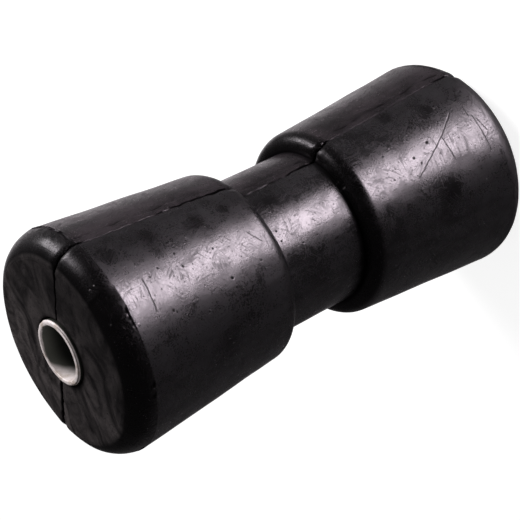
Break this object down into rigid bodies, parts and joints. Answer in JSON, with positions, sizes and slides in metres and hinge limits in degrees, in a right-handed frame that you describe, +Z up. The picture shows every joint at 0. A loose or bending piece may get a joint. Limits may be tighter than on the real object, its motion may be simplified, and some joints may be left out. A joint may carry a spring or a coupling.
{
  "type": "boat trailer roller",
  "caption": "Boat trailer keel roller: black rubber moulded as tapered barrels either side of a narrower waist, on a galvanised steel tube that turns on a spindle.",
  "frame": {"origin": "centre of the lower end of the steel tube, which the roller stands on", "axes": "+Z up along the roller's axis; the mould's parting plane is the XZ plane, so the trimmed flash lies on the +X and -X sides"},
  "size_m": [0.0882, 0.0882, 0.2],
  "materials": {
    "rubber": "moulded black rubber with a dull, slightly mottled sheen",
    "galvanised_steel": "galvanised, pale grey and slightly dull"
  },
  "bodies": {
    "root": {"rubber_roller": "rubber", "steel_tube": "galvanised_steel"}
  },
  "joints": []
}
